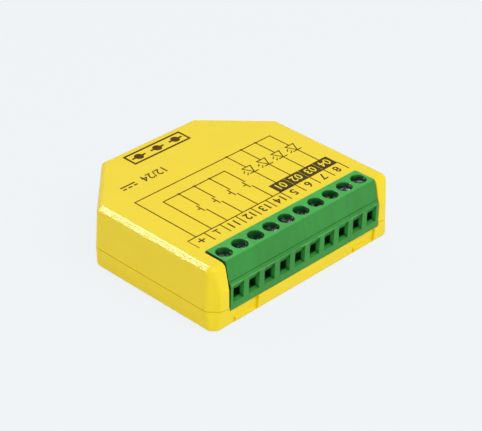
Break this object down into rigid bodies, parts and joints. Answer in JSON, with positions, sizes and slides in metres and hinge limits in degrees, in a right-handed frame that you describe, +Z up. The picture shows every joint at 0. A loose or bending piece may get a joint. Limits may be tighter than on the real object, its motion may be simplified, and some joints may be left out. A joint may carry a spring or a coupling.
{
  "type": "led strip controller",
  "caption": "Flat flush-mounted controller for light strips: a two-part plastic shell with cut rear corners and a screw terminal block set into its front edge, with a button at the rear.",
  "frame": {"origin": "middle of the bounding box at the flat underside", "axes": "+X along the row of terminals, to the right when facing them from behind the object; +Y from the terminals to the rear; +Z up from the resting face to the printed top"},
  "size_m": [0.0424, 0.0372, 0.0116],
  "materials": {
    "yellow_plastic": "satin moulded, slightly translucent",
    "green_plastic": "satin moulded",
    "screw_steel": "plated, used, darkened slots",
    "clamp_steel": "nickel plated",
    "tinned_copper": "tinned",
    "solder": "smooth, bright",
    "board_laminate": "solder mask",
    "radio_laminate": "dark solder mask",
    "shield_plate": "tinned sheet",
    "chip_plastic": "moulded",
    "chip_ceramic": "fired",
    "resistor_ceramic": "glazed top",
    "ferrite": "pressed",
    "crystal_can": "bright",
    "capacitor_can": "satin",
    "black_plastic": "moulded",
    "button_plastic": "moulded",
    "switch_plastic": "moulded",
    "clear_plastic": "clear",
    "led_resin": "milky",
    "gold_contact": "gold plated",
    "copper_trace": "bare copper",
    "print_ink": "dark brown pad print on the cover"
  },
  "bodies": {
    "controller": {"antenna_trace": "copper_trace", "base_shell": "yellow_plastic", "buck_converter": "chip_plastic", "buck_inductor": "ferrite", "capacitor_plate": "black_plastic", "ceramic_capacitors": "chip_ceramic", "circuit_board": "board_laminate", "flash_chip": "chip_plastic", "gate_driver": "chip_plastic", "header_contacts": "gold_contact", "inductor_plates": "solder", "input_capacitor": "capacitor_can", "input_diode": "chip_plastic", "input_fuse": "chip_ceramic", "input_resistors": "resistor_ceramic", "light_pipe": "clear_plastic", "output_transistors": "chip_plastic", "radio_board": "radio_laminate", "radio_crystal": "crystal_can", "radio_processor": "chip_plastic", "radio_shield": "shield_plate", "sense_resistors": "resistor_ceramic", "service_header": "black_plastic", "solder_joints": "solder", "status_led": "led_resin", "surge_suppressor": "chip_plastic", "switch_body": "black_plastic", "terminal_contacts": "tinned_copper", "terminal_housing_1": "green_plastic", "terminal_housing_2": "green_plastic", "terminal_housing_3": "green_plastic", "terminal_housing_4": "green_plastic", "top_cover": "yellow_plastic", "transistor_leads": "solder"},
    "button": {"control_button": "button_plastic", "switch_plunger": "switch_plastic"},
    "screw_01": {"terminal_screw_01": "screw_steel"},
    "clamp_01": {"clamp_cage_01": "clamp_steel"},
    "screw_02": {"terminal_screw_02": "screw_steel"},
    "clamp_02": {"clamp_cage_02": "clamp_steel"},
    "screw_03": {"terminal_screw_03": "screw_steel"},
    "clamp_03": {"clamp_cage_03": "clamp_steel"},
    "screw_04": {"terminal_screw_04": "screw_steel"},
    "clamp_04": {"clamp_cage_04": "clamp_steel"},
    "screw_05": {"terminal_screw_05": "screw_steel"},
    "clamp_05": {"clamp_cage_05": "clamp_steel"},
    "screw_06": {"terminal_screw_06": "screw_steel"},
    "clamp_06": {"clamp_cage_06": "clamp_steel"},
    "screw_07": {"terminal_screw_07": "screw_steel"},
    "clamp_07": {"clamp_cage_07": "clamp_steel"},
    "screw_08": {"terminal_screw_08": "screw_steel"},
    "clamp_08": {"clamp_cage_08": "clamp_steel"},
    "screw_09": {"terminal_screw_09": "screw_steel"},
    "clamp_09": {"clamp_cage_09": "clamp_steel"},
    "screw_10": {"terminal_screw_10": "screw_steel"},
    "clamp_10": {"clamp_cage_10": "clamp_steel"}
  },
  "joints": [
    {"name": "screw_01_turn", "type": "hinge", "parent": "controller", "child": "screw_01", "pos_m": [-0.01575, -0.0152, 0.00975], "axis": [0, 0, -1], "range_deg": [0, 1458]},
    {"name": "clamp_01_rise", "type": "slide", "parent": "controller", "child": "clamp_01", "axis": [0, 0, 1], "range_m": [0, 0.00162]},
    {"name": "screw_02_turn", "type": "hinge", "parent": "controller", "child": "screw_02", "pos_m": [-0.01225, -0.0152, 0.00975], "axis": [0, 0, -1], "range_deg": [0, 1458]},
    {"name": "clamp_02_rise", "type": "slide", "parent": "controller", "child": "clamp_02", "axis": [0, 0, 1], "range_m": [0, 0.00162]},
    {"name": "screw_03_turn", "type": "hinge", "parent": "controller", "child": "screw_03", "pos_m": [-0.00875, -0.0152, 0.00975], "axis": [0, 0, -1], "range_deg": [0, 1458]},
    {"name": "clamp_03_rise", "type": "slide", "parent": "controller", "child": "clamp_03", "axis": [0, 0, 1], "range_m": [0, 0.00162]},
    {"name": "screw_04_turn", "type": "hinge", "parent": "controller", "child": "screw_04", "pos_m": [-0.00525, -0.0152, 0.00975], "axis": [0, 0, -1], "range_deg": [0, 1458]},
    {"name": "clamp_04_rise", "type": "slide", "parent": "controller", "child": "clamp_04", "axis": [0, 0, 1], "range_m": [0, 0.00162]},
    {"name": "screw_05_turn", "type": "hinge", "parent": "controller", "child": "screw_05", "pos_m": [-0.00175, -0.0152, 0.00975], "axis": [0, 0, -1], "range_deg": [0, 1458]},
    {"name": "clamp_05_rise", "type": "slide", "parent": "controller", "child": "clamp_05", "axis": [0, 0, 1], "range_m": [0, 0.00162]},
    {"name": "screw_06_turn", "type": "hinge", "parent": "controller", "child": "screw_06", "pos_m": [0.00175, -0.0152, 0.00975], "axis": [0, 0, -1], "range_deg": [0, 1458]},
    {"name": "clamp_06_rise", "type": "slide", "parent": "controller", "child": "clamp_06", "axis": [0, 0, 1], "range_m": [0, 0.00162]},
    {"name": "screw_07_turn", "type": "hinge", "parent": "controller", "child": "screw_07", "pos_m": [0.00525, -0.0152, 0.00975], "axis": [0, 0, -1], "range_deg": [0, 1458]},
    {"name": "clamp_07_rise", "type": "slide", "parent": "controller", "child": "clamp_07", "axis": [0, 0, 1], "range_m": [0, 0.00162]},
    {"name": "screw_08_turn", "type": "hinge", "parent": "controller", "child": "screw_08", "pos_m": [0.00875, -0.0152, 0.00975], "axis": [0, 0, -1], "range_deg": [0, 1458]},
    {"name": "clamp_08_rise", "type": "slide", "parent": "controller", "child": "clamp_08", "axis": [0, 0, 1], "range_m": [0, 0.00162]},
    {"name": "screw_09_turn", "type": "hinge", "parent": "controller", "child": "screw_09", "pos_m": [0.01225, -0.0152, 0.00975], "axis": [0, 0, -1], "range_deg": [0, 1458]},
    {"name": "clamp_09_rise", "type": "slide", "parent": "controller", "child": "clamp_09", "axis": [0, 0, 1], "range_m": [0, 0.00162]},
    {"name": "screw_10_turn", "type": "hinge", "parent": "controller", "child": "screw_10", "pos_m": [0.01575, -0.0152, 0.00975], "axis": [0, 0, -1], "range_deg": [0, 1458]},
    {"name": "clamp_10_rise", "type": "slide", "parent": "controller", "child": "clamp_10", "axis": [0, 0, 1], "range_m": [0, 0.00162]},
    {"name": "button_press", "type": "slide", "parent": "controller", "child": "button", "axis": [0, -1, 0], "range_m": [0, 0.0003], "stiffness_N_per_m": 5300, "springref_m": -0.0001}
  ],
  "couplings": [
    {"joint": "screw_01_turn", "follows": "clamp_01_rise", "rad_per_m": 15707},
    {"joint": "screw_02_turn", "follows": "clamp_02_rise", "rad_per_m": 15707},
    {"joint": "screw_03_turn", "follows": "clamp_03_rise", "rad_per_m": 15707},
    {"joint": "screw_04_turn", "follows": "clamp_04_rise", "rad_per_m": 15707},
    {"joint": "screw_05_turn", "follows": "clamp_05_rise", "rad_per_m": 15707},
    {"joint": "screw_06_turn", "follows": "clamp_06_rise", "rad_per_m": 15707},
    {"joint": "screw_07_turn", "follows": "clamp_07_rise", "rad_per_m": 15707},
    {"joint": "screw_08_turn", "follows": "clamp_08_rise", "rad_per_m": 15707},
    {"joint": "screw_09_turn", "follows": "clamp_09_rise", "rad_per_m": 15707},
    {"joint": "screw_10_turn", "follows": "clamp_10_rise", "rad_per_m": 15707}
  ]
}
